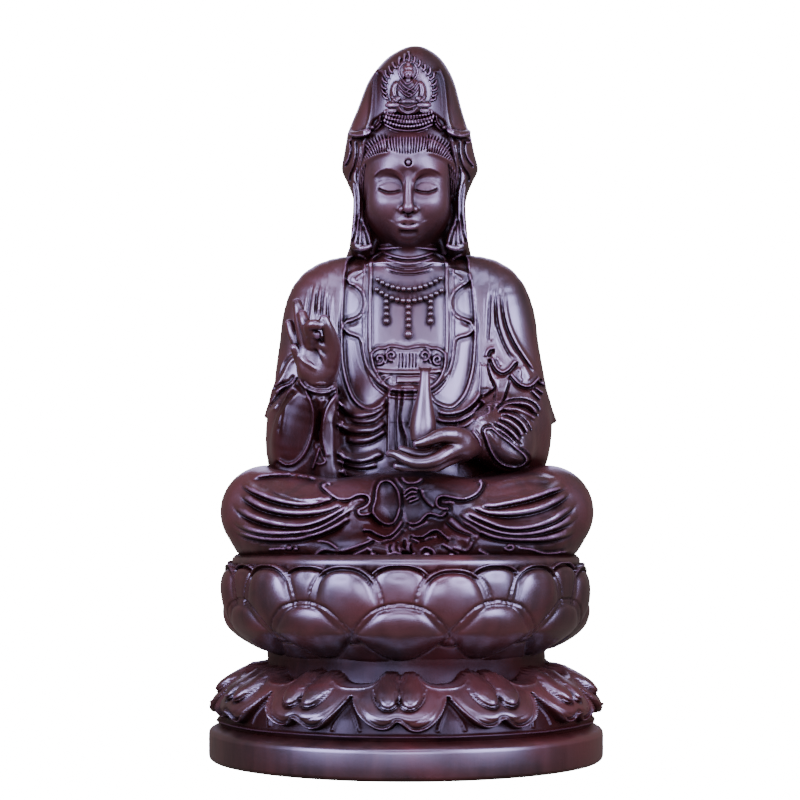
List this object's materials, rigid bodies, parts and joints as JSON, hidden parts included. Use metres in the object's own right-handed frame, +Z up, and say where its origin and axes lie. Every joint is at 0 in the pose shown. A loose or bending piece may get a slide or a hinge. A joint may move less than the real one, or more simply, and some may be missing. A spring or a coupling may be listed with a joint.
{
  "type": "seated guanyin figure on a lotus throne",
  "caption": "Carved wooden figure in a hooded robe, seated cross-legged with a raised hand and a small vase, on a double lotus throne and round plinth; an ornament that stands on a shelf.",
  "frame": {"origin": "centre of the round plinth's underside", "axes": "+Z up through the hood's tip, the figure faces -Y, its raised hand is on the -X side"},
  "size_m": [0.166, 0.166, 0.3],
  "materials": {
    "wood": "very dark reddish-brown rosewood or ebony, rubbed and waxed to a satin gloss"
  },
  "bodies": {
    "root": {"guanyin_figure": "wood"}
  },
  "joints": []
}
